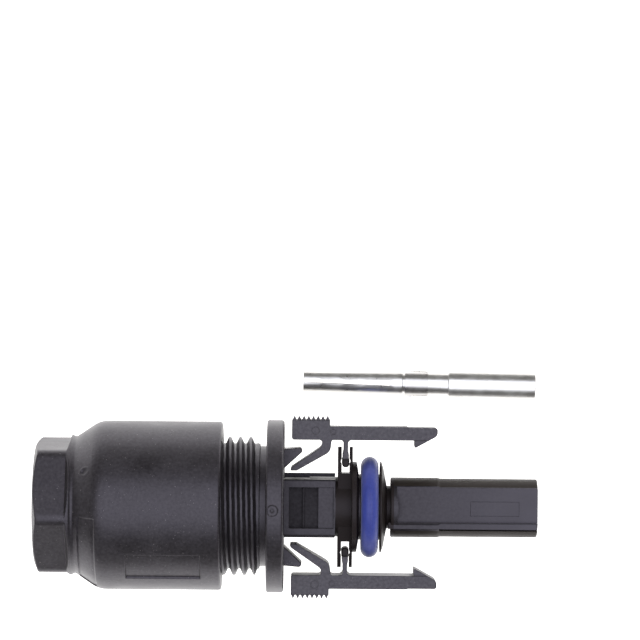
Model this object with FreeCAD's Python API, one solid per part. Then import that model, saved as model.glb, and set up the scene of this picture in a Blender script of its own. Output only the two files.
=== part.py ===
import FreeCAD, Part
import math
import os

# Single-pole solar cable coupler with its loose crimp contact, in millimetres.
# X runs along the connector, towards the nose that plugs into the mating half. +Z is up, and the
# connector lies on its side. The origin is on the connector's axis, at the flange's front face.
# Each piece is one solid in its own STEP file.

Vector = FreeCAD.Vector
ORIGIN = Vector(0, 0, 0)
X_DIR = Vector(1, 0, 0)
Y_DIR = Vector(0, 1, 0)
Z_DIR = Vector(0, 0, 1)

# ---- Driving dimensions: threaded housing ----
flange_d = 25.0
flange_t = 2.5
flange_edge = 0.35
neck_step = 1.3
neck_len = 1.0
thread_d = 20.0
thread_pitch = 1.5
thread_depth = 0.92
thread_len = 17.5
thread_start = 0.75
thread_root_share = 0.385
thread_crest_half = 0.10
thread_sink = 0.08
thread_lead = 1.1
housing_wall = 1.0
gate_mark_d = 1.6
gate_mark_depth = 0.12
gate_mark_back = 1.55
wedge_reach = 2.72
wedge_y = (5.7, 8.6)
wedge_round = 0.3
wedge_foot = 0.3
wedge_lip = 0.1
wedge_drop = 0.48
wedge_blunt = 0.37
wedge_rise = 0.22

# ---- Driving dimensions: screw cap ----
cap_wall = 2.2
cap_len = 26.95
shown_thread = 5.45
stop_gap = 0.6
rear_wall = 1.6
entry_d = 9.2
entry_lead = 0.5
cone_lip = 0.4
hex_af = 18.0
hex_corner_proud = 1.15
hex_len = 4.7
hex_turn = 40.0
run_out_len = 1.0
run_out_share = 0.6
hex_blend = 1.16
shoulder_len = 3.55
shoulder_step = 0.35
shoulder_round = 4.0
end_chamfer = 0.6
end_chamfer_drop = 0.35
mouth_chamfer = 0.4
mouth_relief = 1.0
cap_crest_half = 0.15
panel_len = 10.6
panel_from_mouth = 2.9
panel_angles = (123.0, 146.0)
panel_depth = 0.28
index_angles = (97.0, 168.0)
index_depth = 0.2
index_rear_margin = 0.9
index_front_margin = 0.2
gate_dimple_d = 1.0
gate_dimple_angle = 62.0
gate_dimple_place = 0.52

# ---- Driving dimensions: clamping cage and cable seal ----
cage_wall = 1.2
cage_engaged = 3.0
finger_count = 6
finger_gap = 1.4
finger_root = 1.6
tip_back = 1.2
cage_chamfer = 0.5
seal_len = 8.0
seal_back = 0.6
seal_bore_d = 6.6
seal_chamfer = 0.5

# ---- Driving dimensions: front insulator ----
spigot_d = 10.8
spigot_len = 10.9
bridge_len = 7.4
bridge_width = 8.2
bridge_edge = 0.35
ledge_proud = 0.6
ledge_t = 0.9
window_len = 4.2
window_front_len = 2.2
window_width = 5.9
window_from_flange = 0.75
window_floor = 0.69
window_step = 0.4
window_bar = 0.25
window_bar_share = 0.4
fork_from_bridge = 0.35
fork_rear_wall = 0.55
fork_front_wall = 0.3
fork_slot = 1.15
fork_reach = 8.7
fork_root_y = 2.6
fork_root_half = 3.4
fork_tip_half = 1.0
fork_round = 0.3
slot_floor = 4.9
land_d = 13.1
rear_land_t = 1.0
rear_flank = 0.25
rear_flank_drop = 1.5
front_land_t = 0.5
front_land_tip_t = 0.22
front_land_slope = 0.85
land_edge = 0.15
groove_len = 3.1
bevel_len = 1.05
neck_r = 3.1
neck_gap = 0.55
nose_d = 8.65
nose_tip_d = 8.45
nose_len = 21.2
nose_edge = 0.25
nose_step_at = 6.75
nose_step_run = 0.4
mark_len = 7.0
mark_width = 2.05
mark_depth = 0.08
mark_from_tip = 2.7
mark_y = 0.0
flat_wall = 0.4
flat_from_nose = 0.6
run_in_bulge = 0.55
run_in_share = 0.9
key_y = (-2.95, -2.05)
key_top = 3.62
key_lead = 0.35
key_slit = 0.22
key_slit_len = 14.2
key_back = 0.2
slit_floor = 1.9
tip_wall = 1.6
socket_gap = 0.15
seat_gap = 0.3
chamber_extra = 0.6
pin_hole_d = 3.5
pin_lead = 0.4
lip_lead = 0.6

# ---- Driving dimensions: sealing ring ----
ring_section_d = 2.52
ring_inner_d = 9.5
ring_place = 0.52

# ---- Driving dimensions: latch arms ----
arm_width = 6.0
arm_inner = 9.75
arm_outer = 11.7
arm_reach = 13.23
arm_edge = 0.35
arm_step = 0.1
arm_step_back = 4.2
pad_from_flange = 1.08
pad_len = 5.5
pad_outer = 12.6
tooth_count = 8
tooth_height = 0.6
tooth_round = 0.07
tooth_gap_share = 0.12
hook_reach = 9.9
hook_inner = 8.6
hook_slope = 29.0
hook_thinner = 0.25
nose_round = 0.8
stem_t = 0.65
pivot_y = 6.6
pivot_barrel_d = 1.3
pivot_barrel_half = 2.3
stem_foot_half = 0.45
stem_foot_len = 0.6
stem_root_round = 0.5
spring_root_x = (5.44, 6.83)
spring_knee_y = (8.82, 8.06)
spring_tip = (0.82, 5.3)
spring_tip_t = 0.5
spring_taper = 0.2
spring_rear_rounds = (0.4, 0.9)
spring_front_rounds = (1.3, 0.3)
spring_root_margin = 0.6

# ---- Driving dimensions: crimp contact and its clip ----
contact_len = 34.3
socket_len = 14.7
socket_tip_d = 3.5
socket_d = 4.0
socket_bore_d = 2.5
socket_bore_len = 12.0
socket_lead = 0.25
socket_drill_tip = 0.7
slot_count = 4
slot_len = 12.6
slot_root_w = 0.75
slot_tip_w = 0.16
clip_len = 3.4
neck_contact_d = 3.9
neck_undercut = 0.2
seat_step = 0.1
barrel_d = 4.7
barrel_len = 12.9
barrel_bore_d = 3.7
barrel_bore_len = 11.4
barrel_lead = 0.3
barrel_drill_tip = 1.0
sight_hole_d = 1.2
clip_t = 0.18
clip_slit = 0.6
lance_proud = 0.125
lance_w = 1.5
lance_root = 0.45
clip_window_gap = 0.15
contact_y = 17.75
contact_mid_x = 19.72
contact_skew = -0.8

# ---- Named clearances ----
thread_gap = 0.20
press_gap = 0.02
cage_gap = 0.20
seal_gap = 0.03
pivot_gap = 0.05
lip_gap = 0.06
chamber_gap = 0.12
over = 1.0

# ---- Diameters and widths that follow from what fits inside them ----
neck_d = thread_d - 2 * neck_step
cap_d = thread_d + 2 * cap_wall
hex_corner_d = hex_af + 2 * hex_corner_proud
shoulder_start_d = hex_corner_d - 2 * shoulder_step
cage_d = thread_d - 2 * (thread_depth + housing_wall + cage_gap)
wedge_width = arm_width
fork_width = arm_width
cavity_d = barrel_d + 2 * lip_gap
lance_d = barrel_d + 2 * lance_proud
chamber_d = lance_d + 2 * chamber_gap
window_depth = (bridge_width - cavity_d) / 2 - window_floor
flat_half_height = chamber_d / 2 + flat_wall

# ---- Places along the axis, worked out from the dimensions ----
thread_front_x = -(flange_t + neck_len)
thread_rear_x = thread_front_x - thread_len
cap_front_x = thread_front_x - shown_thread
cap_rear_x = cap_front_x - cap_len
cap_travel = shown_thread + neck_len - stop_gap
cage_front_x = thread_rear_x + cage_engaged
cage_bore_end_x = thread_rear_x + cage_engaged + cap_travel + stop_gap
cap_bore_end_x = thread_rear_x - cap_travel - stop_gap
cap_cone_x = cap_rear_x + rear_wall
cage_tip_x = cap_cone_x + tip_back
fork_x = bridge_len + fork_from_bridge + fork_rear_wall
pivot_x = fork_x + fork_slot / 2
arm_nose_x = pivot_x + arm_reach
hook_x = pivot_x + hook_reach
pad_rear_x = pad_from_flange
land_x = fork_x + fork_slot + fork_front_wall
groove_x = land_x + rear_land_t
front_land_x = groove_x + groove_len
bevel_x = front_land_x + front_land_t
nose_x = bevel_x + bevel_len
tip_x = nose_x + nose_len
contact_rest_z = -(flange_d - barrel_d) / 2


def round_corner(before, corner, after, radius):
    """Start, middle and end of the arc that rounds a corner between two straight legs."""
    back = (before - corner).normalize()
    ahead = (after - corner).normalize()
    half_angle = back.getAngle(ahead) / 2
    inward = (back + ahead).normalize()
    reach = radius / math.tan(half_angle)
    centre = corner + inward * (radius / math.sin(half_angle))
    return corner + back * reach, centre - inward * radius, corner + ahead * reach


def outline_face(corners, z=0):
    """Flat face from (x, y) corners, where a third number rounds that corner to its radius."""
    points = [Vector(corner[0], corner[1], z) for corner in corners]
    radii = [corner[2] if len(corner) > 2 else 0 for corner in corners]
    edges = []
    stops = []
    for i, radius in enumerate(radii):
        if radius:
            arc = round_corner(points[i - 1], points[i], points[(i + 1) % len(points)], radius)
            edges.append(Part.Arc(*arc).toShape())
            stops.append((arc[0], arc[2]))
        else:
            stops.append((points[i], points[i]))
    for i, stop in enumerate(stops):
        start = stops[i - 1][1]
        if start.distanceToPoint(stop[0]) > 1e-6:
            edges.append(Part.LineSegment(start, stop[0]).toShape())
    return Part.Face(Part.Wire(Part.__sortEdges__(edges)))


def turned(outline):
    """Solid of revolution about X from (x, radius) corners."""
    return outline_face(outline).revolve(ORIGIN, X_DIR, 360)


def rod(diameter, x0, x1):
    """Plain cylinder along X."""
    return Part.makeCylinder(diameter / 2, x1 - x0, Vector(x0, 0, 0), X_DIR)


def block(x0, x1, y0, y1, z0, z1):
    return Part.makeBox(x1 - x0, y1 - y0, z1 - z0, Vector(x0, y0, z0))


def plate(outline, width):
    """Flat plate from (x, y) corners, centred on Z."""
    return outline_face(outline, -width / 2).extrude(Z_DIR * width)


def sector(outline, angles):
    """Part of a turned solid between two angles, counted from +Y towards +Z."""
    first, last = angles
    face = outline_face(outline)
    face.rotate(ORIGIN, X_DIR, first)
    return face.revolve(ORIGIN, X_DIR, last - first)


def thread_ridge(root_r, crest_r, root_half, crest_half, x0, x1, shift):
    """Right-hand helical ridge about X that covers x0 to x1."""
    start = x0 - thread_pitch + thread_start + shift
    length = x1 - x0 + 2 * thread_pitch
    helix = Part.makeHelix(thread_pitch, length, (root_r + crest_r) / 2)
    profile = Part.makePolygon([
        Vector(root_r, 0, -root_half),
        Vector(crest_r, 0, -crest_half),
        Vector(crest_r, 0, crest_half),
        Vector(root_r, 0, root_half),
        Vector(root_r, 0, -root_half),
    ])
    ridge = Part.Wire(helix.Edges).makePipeShell([profile], True, True)
    ridge.rotate(ORIGIN, Y_DIR, 90)
    ridge.translate(Vector(start, 0, 0))
    return ridge


def hexagon(x, across_flats):
    radius = across_flats / math.sqrt(3)
    turns = [math.radians(hex_turn + 60 * i) for i in range(7)]
    corners = [Vector(x, radius * math.cos(turn), radius * math.sin(turn)) for turn in turns]
    return Part.makePolygon(corners)


def cap_cone_r(x):
    """Radius of the cap's inner cone, which squeezes the cage's fingers."""
    small_r = entry_d / 2 + cone_lip
    big_r = cage_d / 2 + cage_gap
    share = (x - cap_cone_x) / (cap_bore_end_x - cap_cone_x)
    return small_r + share * (big_r - small_r)


def shoulder_r(x):
    """Radius of the cap's outer shoulder cone."""
    start = cap_rear_x + hex_len + run_out_len
    share = (x - start) / shoulder_len
    return shoulder_start_d / 2 + share * (cap_d - shoulder_start_d) / 2


def threaded_housing():
    core_r = thread_d / 2 - thread_depth
    crest_r = thread_d / 2
    body = turned([
        (thread_rear_x, 0),
        (thread_rear_x, core_r),
        (thread_front_x, core_r),
        (thread_front_x, neck_d / 2),
        (-flange_t, neck_d / 2),
        (-flange_t, flange_d / 2, flange_edge),
        (0, flange_d / 2, flange_edge),
        (0, 0),
    ])
    ridge = thread_ridge(core_r - thread_sink, crest_r, thread_pitch * thread_root_share,
                         thread_crest_half, thread_rear_x, thread_front_x, 0)
    envelope = turned([
        (thread_rear_x, 0),
        (thread_rear_x, crest_r - thread_lead),
        (thread_rear_x + thread_lead, crest_r + thread_sink),
        (thread_front_x - thread_lead / 2, crest_r + thread_sink),
        (thread_front_x, core_r),
        (thread_front_x, 0),
    ])
    body = body.fuse(ridge.common(envelope))
    body = body.cut(rod(cage_d + 2 * cage_gap, thread_rear_x - over, cage_bore_end_x))
    body = body.cut(rod(spigot_d + 2 * press_gap, cage_bore_end_x - over, over))
    for side in (1, -1):
        body = body.fuse(flange_wedge(side))
    mark_z = flange_d / 2 - gate_mark_depth
    return body.cut(Part.makeCylinder(gate_mark_d / 2, over, Vector(-gate_mark_back, 0, mark_z)))


def flange_wedge(side):
    """Ramp on the flange's front face, behind each latch arm's spring."""
    low_y, high_y = wedge_y
    return plate([
        (-wedge_foot, side * low_y),
        (wedge_lip, side * low_y),
        (wedge_reach, side * (high_y - wedge_drop), wedge_round),
        (wedge_reach - wedge_blunt, side * high_y, wedge_round),
        (-wedge_foot, side * (high_y - wedge_rise)),
    ], wedge_width)


def screw_cap():
    cone_start = cap_rear_x + hex_len + run_out_len
    cone_end = cone_start + shoulder_len
    corner_r = hex_corner_d / 2
    body = turned([
        (cap_rear_x, 0),
        (cap_rear_x, hex_af / 2 - end_chamfer_drop),
        (cap_rear_x + end_chamfer, corner_r),
        (cap_rear_x + hex_len + run_out_len * run_out_share, corner_r),
        (cone_start, shoulder_start_d / 2),
        (cone_end, cap_d / 2, shoulder_round),
        (cap_front_x, cap_d / 2, mouth_chamfer),
        (cap_front_x, 0),
    ])
    hex_end_x = cap_rear_x + hex_len
    wide_af = hex_corner_d * hex_blend
    prism = Part.Face(hexagon(cap_rear_x - over, hex_af)).extrude(X_DIR * (hex_len + over))
    round_x = hex_end_x + run_out_len
    run_out = Part.makeLoft([hexagon(hex_end_x, hex_af), hexagon(round_x, wide_af)], True, True)
    beyond = rod(cap_d + 2 * over, round_x, cap_front_x + over)
    body = body.common(prism.fuse([run_out, beyond]))
    bore_r = thread_d / 2 + thread_gap
    minor_r = thread_d / 2 - thread_depth + thread_gap
    body = body.cut(turned([
        (cap_rear_x - over, 0),
        (cap_rear_x - over, entry_d / 2 + entry_lead + over),
        (cap_rear_x + entry_lead, entry_d / 2),
        (cap_cone_x, entry_d / 2),
        (cap_cone_x, cap_cone_r(cap_cone_x)),
        (cap_bore_end_x, cap_cone_r(cap_bore_end_x)),
        (cap_bore_end_x, bore_r),
        (cap_front_x + over, bore_r),
        (cap_front_x + over, 0),
    ]))
    ridge = thread_ridge(bore_r + thread_sink, minor_r, thread_pitch * thread_root_share,
                         cap_crest_half, cap_bore_end_x, cap_front_x, thread_shift())
    envelope = turned([
        (thread_rear_x - thread_pitch, 0),
        (thread_rear_x - thread_pitch, cap_d / 2 - thread_gap),
        (cap_front_x - mouth_relief, cap_d / 2 - thread_gap),
        (cap_front_x - mouth_relief, bore_r),
        (cap_front_x - mouth_relief + thread_depth, minor_r - thread_sink),
        (cap_front_x - mouth_relief + thread_depth, 0),
    ])
    body = body.fuse(ridge.common(envelope))
    panel_x = cap_front_x - panel_from_mouth
    panel_r = cap_d / 2 - panel_depth
    body = body.cut(sector([
        (panel_x - panel_len, panel_r),
        (panel_x, panel_r),
        (panel_x, panel_r + over),
        (panel_x - panel_len, panel_r + over),
    ], panel_angles))
    body = body.cut(index_recess(cone_start + index_rear_margin, cone_end - index_front_margin))
    dimple_x = cone_start + shoulder_len * gate_dimple_place
    dimple_y = shoulder_r(dimple_x) + gate_dimple_d / 4
    dimple = Part.makeSphere(gate_dimple_d / 2, Vector(dimple_x, dimple_y, 0))
    dimple.rotate(ORIGIN, X_DIR, gate_dimple_angle)
    return body.cut(dimple).removeSplitter()


def thread_shift():
    """Half a pitch between the cap's ridge and the housing's, whatever the two lengths."""
    apart = cap_bore_end_x - thread_rear_x
    return thread_pitch / 2 - math.fmod(apart, thread_pitch)


def index_recess(x0, x1):
    """Shallow land sunk into the shoulder cone, with its ends square to the axis."""
    return sector([
        (x0, shoulder_r(x0) - index_depth),
        (x1, shoulder_r(x1) - index_depth),
        (x1, shoulder_r(x1) + over),
        (x0, shoulder_r(x0) + over),
    ], index_angles)


def clamping_cage():
    outer_r = cage_d / 2
    tip_r = cap_cone_r(cage_tip_x) - cage_gap
    cone_end_x = cap_bore_end_x - cage_gap
    body = turned([
        (cage_tip_x, tip_r - cage_wall),
        (cage_tip_x, tip_r),
        (cone_end_x, cap_cone_r(cone_end_x) - cage_gap),
        (cage_front_x - cage_chamfer, outer_r),
        (cage_front_x, outer_r - cage_chamfer),
        (cage_front_x, outer_r - cage_wall),
        (cone_end_x, outer_r - cage_wall),
    ])
    slot_end_x = cap_bore_end_x + finger_root
    for i in range(finger_count):
        gap = block(cage_tip_x - over, slot_end_x, 0, outer_r + over, -finger_gap / 2, finger_gap / 2)
        gap.rotate(ORIGIN, X_DIR, 360 / finger_count * i)
        body = body.cut(gap)
    return body


def cable_seal():
    outer_r = cage_d / 2 - cage_wall - seal_gap
    bore_r = seal_bore_d / 2
    x1 = cage_front_x - seal_back
    x0 = x1 - seal_len
    return turned([
        (x0, bore_r + seal_chamfer),
        (x0, outer_r - seal_chamfer),
        (x0 + seal_chamfer, outer_r),
        (x1 - seal_chamfer, outer_r),
        (x1, outer_r - seal_chamfer),
        (x1, bore_r + seal_chamfer),
        (x1 - seal_chamfer, bore_r),
        (x0 + seal_chamfer, bore_r),
    ])


def front_insulator():
    half = bridge_width / 2
    bridge = plate([
        (-half, -half, bridge_edge),
        (half, -half, bridge_edge),
        (half, half, bridge_edge),
        (-half, half, bridge_edge),
    ], bridge_len)
    bridge.rotate(ORIGIN, Y_DIR, 90)
    bridge.translate(Vector(bridge_len / 2, 0, 0))
    body = rod(spigot_d, -spigot_len, 0).fuse(bridge)
    ledge_half = half + ledge_proud
    body = body.fuse(block(0, bridge_len, -ledge_half, ledge_half, -half, -half + ledge_t))
    for side in (1, -1):
        body = body.fuse(fork(side))
    body = body.fuse([turned(nose_outline()), key_rib()])
    for side in (1, -1):
        body = body.cut(flat_tool(nose_x + flat_from_nose, side))
    slit_top = key_top + over
    slit = block(tip_x - key_slit_len, tip_x + over, key_y[0] - key_slit, key_y[0], slit_floor, slit_top)
    mark_x = tip_x - mark_from_tip
    mark_z = flat_half_height - mark_depth
    mark_low = mark_y - mark_width / 2
    mark = block(mark_x - mark_len, mark_x, mark_low, mark_low + mark_width, mark_z, mark_z + over)
    body = body.cut([slit, mark, window(1), window(-1)])
    return body.cut(contact_cavity()).removeSplitter()


def nose_outline():
    """Round body in front of the bridge: the ring's groove between two lands, the neck and the nose."""
    land_r = land_d / 2
    nose_r = nose_d / 2
    tip_r = nose_tip_d / 2
    step_x = nose_x + nose_step_at
    return [
        (bridge_len / 2, 0),
        (bridge_len / 2, nose_r),
        (land_x, nose_r),
        (land_x, land_r, land_edge),
        (groove_x - rear_flank, land_r, land_edge),
        (groove_x, land_r - rear_flank_drop),
        (groove_x, ring_inner_d / 2),
        (front_land_x, ring_inner_d / 2),
        (front_land_x, land_r),
        (front_land_x + front_land_tip_t, land_r),
        (bevel_x, land_r - front_land_slope),
        (nose_x - neck_gap, neck_r),
        (nose_x, neck_r),
        (nose_x, nose_r, land_edge),
        (step_x, nose_r),
        (step_x + nose_step_run, tip_r),
        (tip_x, tip_r, nose_edge),
        (tip_x, 0),
    ]


def key_rib():
    """Raised key along the nose, beside the upper flat."""
    return block(nose_x - key_lead, tip_x - key_back, key_y[0], key_y[1], 0, key_top)


def flat_tool(flat_x, side):
    """Cuts the nose flat, with a round run-in, and leaves the key standing on the upper side."""
    reach = nose_d
    low_y = key_y[1] if side > 0 else -reach
    z0 = flat_half_height
    run_in_r = nose_d * run_in_share
    tool = block(flat_x + run_in_bulge / 2, tip_x + over, low_y, reach, z0, reach)
    run_in_centre = Vector(flat_x + run_in_bulge - run_in_r, 0, z0)
    tool = tool.cut(Part.makeCylinder(run_in_r, reach, run_in_centre, Z_DIR))
    if side < 0:
        tool = tool.mirror(ORIGIN, Z_DIR)
    return tool


def fork(side):
    """Tongue with a slot for the latch arm's stem and a round notch for its barrel."""
    tongue = plate([
        (side * fork_root_y, -fork_root_half),
        (side * fork_reach, -fork_tip_half, fork_round),
        (side * fork_reach, fork_tip_half, fork_round),
        (side * fork_root_y, fork_root_half),
    ], fork_rear_wall + fork_slot + fork_front_wall + land_edge)
    tongue.rotate(ORIGIN, X_DIR, 90)
    tongue.rotate(ORIGIN, Z_DIR, 90)
    tongue.translate(Vector((fork_x - fork_rear_wall + land_x + land_edge) / 2, 0, 0))
    slot_low = min(side * slot_floor, side * (fork_reach + over))
    slot_high = max(side * slot_floor, side * (fork_reach + over))
    slot = block(fork_x, fork_x + fork_slot, slot_low, slot_high, -fork_width, fork_width)
    notch_r = pivot_barrel_d / 2 + pivot_gap
    notch = Part.makeCylinder(notch_r, 2 * fork_width, Vector(pivot_x, side * pivot_y, -fork_width), Z_DIR)
    return tongue.cut([slot, notch])


def window(side):
    """Stepped window in the bridge, with a thin bar across its deep part."""
    half = bridge_width / 2
    side_half = window_width / 2
    x0 = window_from_flange
    x1 = x0 + window_len
    deep = block(x0, x1, -side_half, side_half, half - window_depth, half + over)
    bar_x = x0 + window_len / 2
    bar_top = half - window_depth * window_bar_share
    bar = block(bar_x - window_bar / 2, bar_x + window_bar / 2, -half, half, 0, bar_top)
    shallow_x1 = x1 + window_front_len
    shallow = block(x1 - window_bar, shallow_x1, -side_half, side_half, half - window_step, half + over)
    tool = deep.cut(bar).fuse(shallow)
    if side < 0:
        tool.rotate(ORIGIN, X_DIR, 180)
    return tool


def contact_cavity():
    """Stepped bore: the crimp barrel's run, the lances' chamber, the socket's run and the pin's hole."""
    seat_x = tip_x - tip_wall - socket_len + seat_gap
    lip_x = seat_x - clip_len - chamber_extra
    socket_r = socket_d / 2 + socket_gap
    return turned([
        (-spigot_len - over, 0),
        (-spigot_len - over, cavity_d / 2 + lip_lead + over),
        (-spigot_len + lip_lead, cavity_d / 2),
        (lip_x, cavity_d / 2),
        (lip_x, chamber_d / 2),
        (seat_x, chamber_d / 2),
        (seat_x, socket_r),
        (tip_x - tip_wall, socket_r),
        (tip_x - tip_wall, pin_hole_d / 2),
        (tip_x - pin_lead, pin_hole_d / 2),
        (tip_x + over, pin_hole_d / 2 + pin_lead + over),
        (tip_x + over, 0),
    ])


def nose_seal_ring():
    centre_x = groove_x + groove_len * ring_place
    sweep_r = (ring_inner_d + ring_section_d) / 2 + press_gap
    return Part.makeTorus(sweep_r, ring_section_d / 2, Vector(centre_x, 0, 0), X_DIR)


def latch_arm(side):
    """Rocker arm: serrated pad, bar, front hook, pivot stem and folded spring tail."""
    rise = math.tan(math.radians(hook_slope))
    slope_x = hook_x + (arm_inner - hook_inner) / rise
    step_x = arm_nose_x - arm_step_back
    bar = plate([
        (pad_rear_x, arm_inner, arm_edge),
        (slope_x, arm_inner),
        (arm_nose_x, arm_inner + (arm_nose_x - slope_x) * rise, nose_round),
        (arm_nose_x, arm_outer - arm_step, arm_edge),
        (step_x, arm_outer - arm_step),
        (step_x - arm_step, arm_outer),
        (pad_rear_x, arm_outer),
    ], arm_width)
    hook = plate([
        (hook_x, arm_inner + arm_edge),
        (hook_x, hook_inner, arm_edge / 2),
        (slope_x, arm_inner),
        (slope_x, arm_inner + arm_edge),
    ], arm_width - 2 * hook_thinner)
    arm = bar.fuse([hook, serrated_pad(), pivot_stem(), spring_tail()]).removeSplitter()
    if side < 0:
        arm = arm.mirror(ORIGIN, Y_DIR)
    return arm


def serrated_pad():
    pitch = pad_len / tooth_count
    root_y = arm_outer - arm_edge
    outline = [(pad_rear_x, root_y)]
    outline.append((pad_rear_x, pad_outer, tooth_round))
    for i in range(tooth_count):
        x = pad_rear_x + pitch * i
        outline.append((x + pitch * tooth_gap_share, pad_outer, tooth_round))
        outline.append((x + pitch / 2, pad_outer + tooth_height, tooth_round))
        outline.append((x + pitch * (1 - tooth_gap_share), pad_outer, tooth_round))
    outline.append((pad_rear_x + pad_len, pad_outer, tooth_round / 2))
    outline.append((pad_rear_x + pad_len, root_y))
    return plate(outline, arm_width)


def pivot_stem():
    """Stem with rounded roots and a flared foot, on the round barrel that it rocks on."""
    half = stem_t / 2
    top = arm_inner + arm_edge
    foot_y = pivot_y + pivot_barrel_d / 3
    flare_y = foot_y + stem_foot_len
    stem = plate([
        (pivot_x - half - 2 * stem_root_round, top),
        (pivot_x - half - 2 * stem_root_round, arm_inner),
        (pivot_x - half, arm_inner, stem_root_round),
        (pivot_x - half, flare_y + stem_foot_len, stem_root_round),
        (pivot_x - stem_foot_half, flare_y),
        (pivot_x - stem_foot_half, foot_y),
        (pivot_x + stem_foot_half, foot_y),
        (pivot_x + stem_foot_half, flare_y),
        (pivot_x + half, flare_y + stem_foot_len, stem_root_round),
        (pivot_x + half, arm_inner, stem_root_round),
        (pivot_x + half + 2 * stem_root_round, arm_inner),
        (pivot_x + half + 2 * stem_root_round, top),
    ], arm_width)
    barrel_low = Vector(pivot_x, pivot_y, -pivot_barrel_half)
    return stem.fuse(Part.makeCylinder(pivot_barrel_d / 2, 2 * pivot_barrel_half, barrel_low, Z_DIR))


def spring_tail():
    """Leaf that leaves the bar beside the pad and folds back towards the flange."""
    rear_x, front_x = spring_root_x
    rear_knee_y, front_knee_y = spring_knee_y
    tip_x0, tip_y0 = spring_tip
    top = arm_inner + arm_edge
    rear_root_round, rear_knee_round = spring_rear_rounds
    front_knee_round, front_root_round = spring_front_rounds
    return plate([
        (rear_x - spring_root_margin, top),
        (rear_x - spring_root_margin, arm_inner),
        (rear_x, arm_inner, rear_root_round),
        (rear_x, rear_knee_y, rear_knee_round),
        (tip_x0 + spring_tip_t / 2, tip_y0 + spring_tip_t, spring_tip_t / 3),
        (tip_x0, tip_y0, spring_tip_t / 3),
        (tip_x0 + 2 * spring_tip_t, tip_y0, spring_tip_t),
        (front_x - spring_taper, front_knee_y, front_knee_round),
        (front_x, arm_inner, front_root_round),
        (front_x + spring_root_margin, arm_inner),
        (front_x + spring_root_margin, top),
    ], arm_width)


def placed_contact(shape):
    """Lay a contact piece, modelled from x = 0 on its own axis, beside the connector."""
    shape.translate(Vector(-contact_len / 2, 0, 0))
    shape.rotate(ORIGIN, Z_DIR, contact_skew)
    shape.translate(Vector(contact_mid_x, contact_y, contact_rest_z))
    return shape


def crimp_contact():
    seat_x = socket_len + seat_gap
    neck_x = seat_x + clip_len
    barrel_x = contact_len - barrel_len
    neck_r = neck_contact_d / 2
    barrel_r = barrel_d / 2
    body = turned([
        (0, 0),
        (0, socket_tip_d / 2, seat_step),
        (socket_len, socket_d / 2, seat_step),
        (socket_len, neck_r - neck_undercut),
        (seat_x, neck_r - neck_undercut),
        (seat_x, neck_r - seat_step),
        (neck_x, neck_r - seat_step),
        (neck_x, neck_r),
        (barrel_x, neck_r),
        (barrel_x, barrel_r, seat_step),
        (contact_len, barrel_r, 1.5 * seat_step),
        (contact_len, 0),
    ])
    body = body.cut(turned([
        (-over, 0),
        (-over, socket_bore_d / 2 + socket_lead + over),
        (socket_lead, socket_bore_d / 2),
        (socket_bore_len, socket_bore_d / 2),
        (socket_bore_len + socket_drill_tip, 0),
    ]))
    body = body.cut(turned([
        (contact_len + over, 0),
        (contact_len + over, barrel_bore_d / 2 + barrel_lead + over),
        (contact_len - barrel_lead, barrel_bore_d / 2),
        (contact_len - barrel_bore_len, barrel_bore_d / 2),
        (contact_len - barrel_bore_len - barrel_drill_tip, 0),
    ]))
    for i in range(slot_count):
        body = body.cut(socket_slot(360 / slot_count * i))
    sight_x = contact_len - barrel_bore_len + 1.5 * sight_hole_d / 2
    sight = Part.makeCylinder(sight_hole_d / 2, barrel_d, Vector(sight_x, 0, 0), Y_DIR)
    return placed_contact(body.cut(sight).removeSplitter())


def socket_slot(angle):
    """Slot between two tines, pinched towards the tip, round at its root."""
    reach = socket_d
    wedge = outline_face([
        (-over, -slot_tip_w / 2),
        (-over, slot_tip_w / 2),
        (slot_len, slot_root_w / 2),
        (slot_len, -slot_root_w / 2),
    ]).extrude(Z_DIR * reach)
    root = Part.makeCylinder(slot_root_w / 2, reach, Vector(slot_len, 0, 0), Z_DIR)
    slot = wedge.fuse(root)
    slot.rotate(ORIGIN, X_DIR, angle)
    return slot


def retaining_clip():
    """Sprung sleeve on the contact's seat, split underneath, with two raised lances."""
    x0 = socket_len + seat_gap + press_gap
    x1 = x0 + clip_len - 2 * press_gap
    inner_r = neck_contact_d / 2 - seat_step + press_gap
    outer_r = inner_r + clip_t
    window_half = lance_w / 2 + clip_window_gap
    bore = rod(2 * inner_r, x0 - over, x1 + over)
    sleeve = rod(2 * outer_r, x0, x1).cut(bore)
    sleeve = sleeve.cut(block(x0 - over, x1 + over, -clip_slit / 2, clip_slit / 2, -barrel_d, 0))
    for side in (1, -1):
        near = side * inner_r / 2
        far = side * barrel_d
        low = min(near, far)
        high = max(near, far)
        window_x = x0 + lance_root + clip_window_gap
        sleeve = sleeve.cut(block(window_x, x1 + over, low, high, -window_half, window_half))
        lance = plate([
            (x0 + lance_root, side * inner_r),
            (x0 + lance_root, side * outer_r),
            (x1, side * lance_d / 2, clip_t / 2),
            (x1, side * (lance_d / 2 - clip_t)),
            (x0 + 2 * lance_root, side * inner_r),
        ], lance_w)
        sleeve = sleeve.fuse(lance.cut(bore))
    return placed_contact(sleeve.removeSplitter())


pieces = {
    "threaded_housing": threaded_housing(),
    "front_insulator": front_insulator(),
    "nose_seal_ring": nose_seal_ring(),
    "latch_arm_left": latch_arm(1),
    "latch_arm_right": latch_arm(-1),
    "clamping_cage": clamping_cage(),
    "cable_seal": cable_seal(),
    "screw_cap": screw_cap(),
    "crimp_contact": crimp_contact(),
    "contact_retaining_clip": retaining_clip(),
}

os.makedirs("parts", exist_ok=True)
for name, shape in pieces.items():
    solid = shape.Solids[0]
    print(name, "solids", len(shape.Solids), "valid", solid.isValid(), "volume", round(solid.Volume, 2))
    solid.exportStep(f"parts/{name}.step")
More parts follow.
